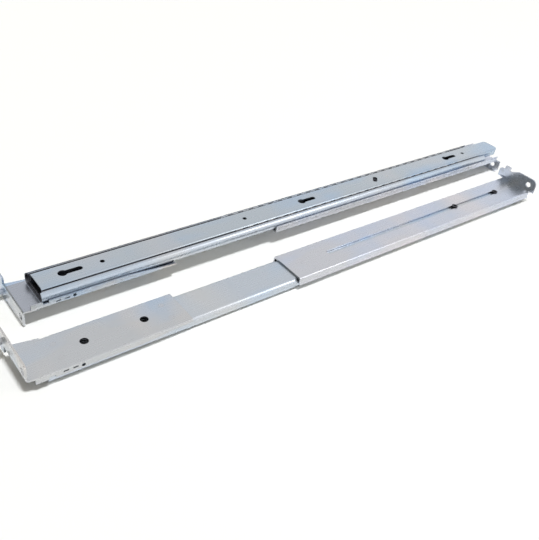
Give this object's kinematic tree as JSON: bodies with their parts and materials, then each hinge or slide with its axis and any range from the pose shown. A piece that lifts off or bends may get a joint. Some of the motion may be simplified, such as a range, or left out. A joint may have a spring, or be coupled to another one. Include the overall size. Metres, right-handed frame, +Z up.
{
  "type": "sliding server rail pair",
  "caption": "Mirrored pair of three-member ball-bearing server slides with front brackets, sliding rear brackets, keyholed inner members, latches and ball cages.",
  "frame": {"origin": "centre of the base of the box round both rails", "axes": "+X from the front flanges to the rear flanges, +Y towards the top of the rack, +Z up from the surface the rails lie on"},
  "size_m": [0.779, 0.15, 0.033],
  "materials": {
    "zinc_slide": "satin",
    "zinc_bracket": "satin",
    "cage_steel": "satin",
    "ball_steel": "polished",
    "black_steel": "satin",
    "rivet_steel": "satin",
    "bumper_rubber": "matte"
  },
  "bodies": {
    "root": {"left_outer_member": "zinc_slide", "left_front_bracket": "zinc_bracket", "left_bracket_rivets": "rivet_steel", "left_front_rack_pins": "rivet_steel", "left_slot_studs": "black_steel", "left_rear_bumper": "bumper_rubber", "right_outer_member": "zinc_slide", "right_front_bracket": "zinc_bracket", "right_bracket_rivets": "rivet_steel", "right_front_rack_pins": "rivet_steel", "right_slot_studs": "black_steel", "right_rear_bumper": "bumper_rubber"},
    "left_rear_mount": {"left_rear_bracket": "zinc_bracket", "left_rear_rack_pin": "rivet_steel"},
    "left_intermediate": {"left_intermediate_member": "zinc_slide", "left_catch_rivet": "rivet_steel"},
    "left_catch": {"left_lock_catch": "cage_steel"},
    "left_outer_cage": {"left_outer_ball_cage": "cage_steel", "left_outer_balls": "ball_steel"},
    "left_inner_cage": {"left_inner_ball_cage": "cage_steel", "left_inner_balls": "ball_steel"},
    "left_inner": {"left_inner_member": "zinc_slide", "left_lever_rivet": "rivet_steel"},
    "left_lever": {"left_release_lever": "cage_steel"},
    "right_rear_mount": {"right_rear_bracket": "zinc_bracket", "right_rear_rack_pin": "rivet_steel"},
    "right_intermediate": {"right_intermediate_member": "zinc_slide", "right_catch_rivet": "rivet_steel"},
    "right_catch": {"right_lock_catch": "cage_steel"},
    "right_outer_cage": {"right_outer_ball_cage": "cage_steel", "right_outer_balls": "ball_steel"},
    "right_inner_cage": {"right_inner_ball_cage": "cage_steel", "right_inner_balls": "ball_steel"},
    "right_inner": {"right_inner_member": "zinc_slide", "right_lever_rivet": "rivet_steel"},
    "right_lever": {"right_release_lever": "cage_steel"}
  },
  "joints": [
    {"name": "left_rear_bracket_slide", "type": "slide", "parent": "root", "child": "left_rear_mount", "axis": [1, 0, 0], "range_m": [0, 0.22]},
    {"name": "left_intermediate_slide", "type": "slide", "parent": "root", "child": "left_intermediate", "axis": [-1, 0, 0], "range_m": [0, 0.33]},
    {"name": "left_outer_cage_slide", "type": "slide", "parent": "root", "child": "left_outer_cage", "axis": [-1, 0, 0], "range_m": [0, 0.165]},
    {"name": "left_inner_slide", "type": "slide", "parent": "left_intermediate", "child": "left_inner", "axis": [-1, 0, 0], "range_m": [0, 0.36]},
    {"name": "left_inner_cage_slide", "type": "slide", "parent": "left_intermediate", "child": "left_inner_cage", "axis": [-1, 0, 0], "range_m": [0, 0.18]},
    {"name": "left_lock_catch_hinge", "type": "hinge", "parent": "left_intermediate", "child": "left_catch", "pos_m": [0.3275, 0.035, 0.0228], "axis": [0, 0, 1], "range_deg": [0, 8], "stiffness_Nm_per_rad": 0.03},
    {"name": "left_release_lever_hinge", "type": "hinge", "parent": "left_inner", "child": "left_lever", "pos_m": [0.1575, 0.035, 0.0318], "axis": [0, 0, 1], "range_deg": [0, 6], "stiffness_Nm_per_rad": 0.05},
    {"name": "right_rear_bracket_slide", "type": "slide", "parent": "root", "child": "right_rear_mount", "axis": [1, 0, 0], "range_m": [0, 0.22]},
    {"name": "right_intermediate_slide", "type": "slide", "parent": "root", "child": "right_intermediate", "axis": [-1, 0, 0], "range_m": [0, 0.33]},
    {"name": "right_outer_cage_slide", "type": "slide", "parent": "root", "child": "right_outer_cage", "axis": [-1, 0, 0], "range_m": [0, 0.165]},
    {"name": "right_inner_slide", "type": "slide", "parent": "right_intermediate", "child": "right_inner", "axis": [-1, 0, 0], "range_m": [0, 0.36]},
    {"name": "right_inner_cage_slide", "type": "slide", "parent": "right_intermediate", "child": "right_inner_cage", "axis": [-1, 0, 0], "range_m": [0, 0.18]},
    {"name": "right_lock_catch_hinge", "type": "hinge", "parent": "right_intermediate", "child": "right_catch", "pos_m": [0.2975, -0.047, 0.0102], "axis": [0, 0, 1], "range_deg": [0, 8], "stiffness_Nm_per_rad": 0.03},
    {"name": "right_release_lever_hinge", "type": "hinge", "parent": "right_inner", "child": "right_lever", "pos_m": [0.1275, -0.047, 0.0012], "axis": [0, 0, 1], "range_deg": [0, 6], "stiffness_Nm_per_rad": 0.05}
  ],
  "couplings": [
    {"joint": "left_outer_cage_slide", "follows": "left_intermediate_slide", "ratio": 0.5},
    {"joint": "left_inner_cage_slide", "follows": "left_inner_slide", "ratio": 0.5},
    {"joint": "right_outer_cage_slide", "follows": "right_intermediate_slide", "ratio": 0.5},
    {"joint": "right_inner_cage_slide", "follows": "right_inner_slide", "ratio": 0.5}
  ]
}
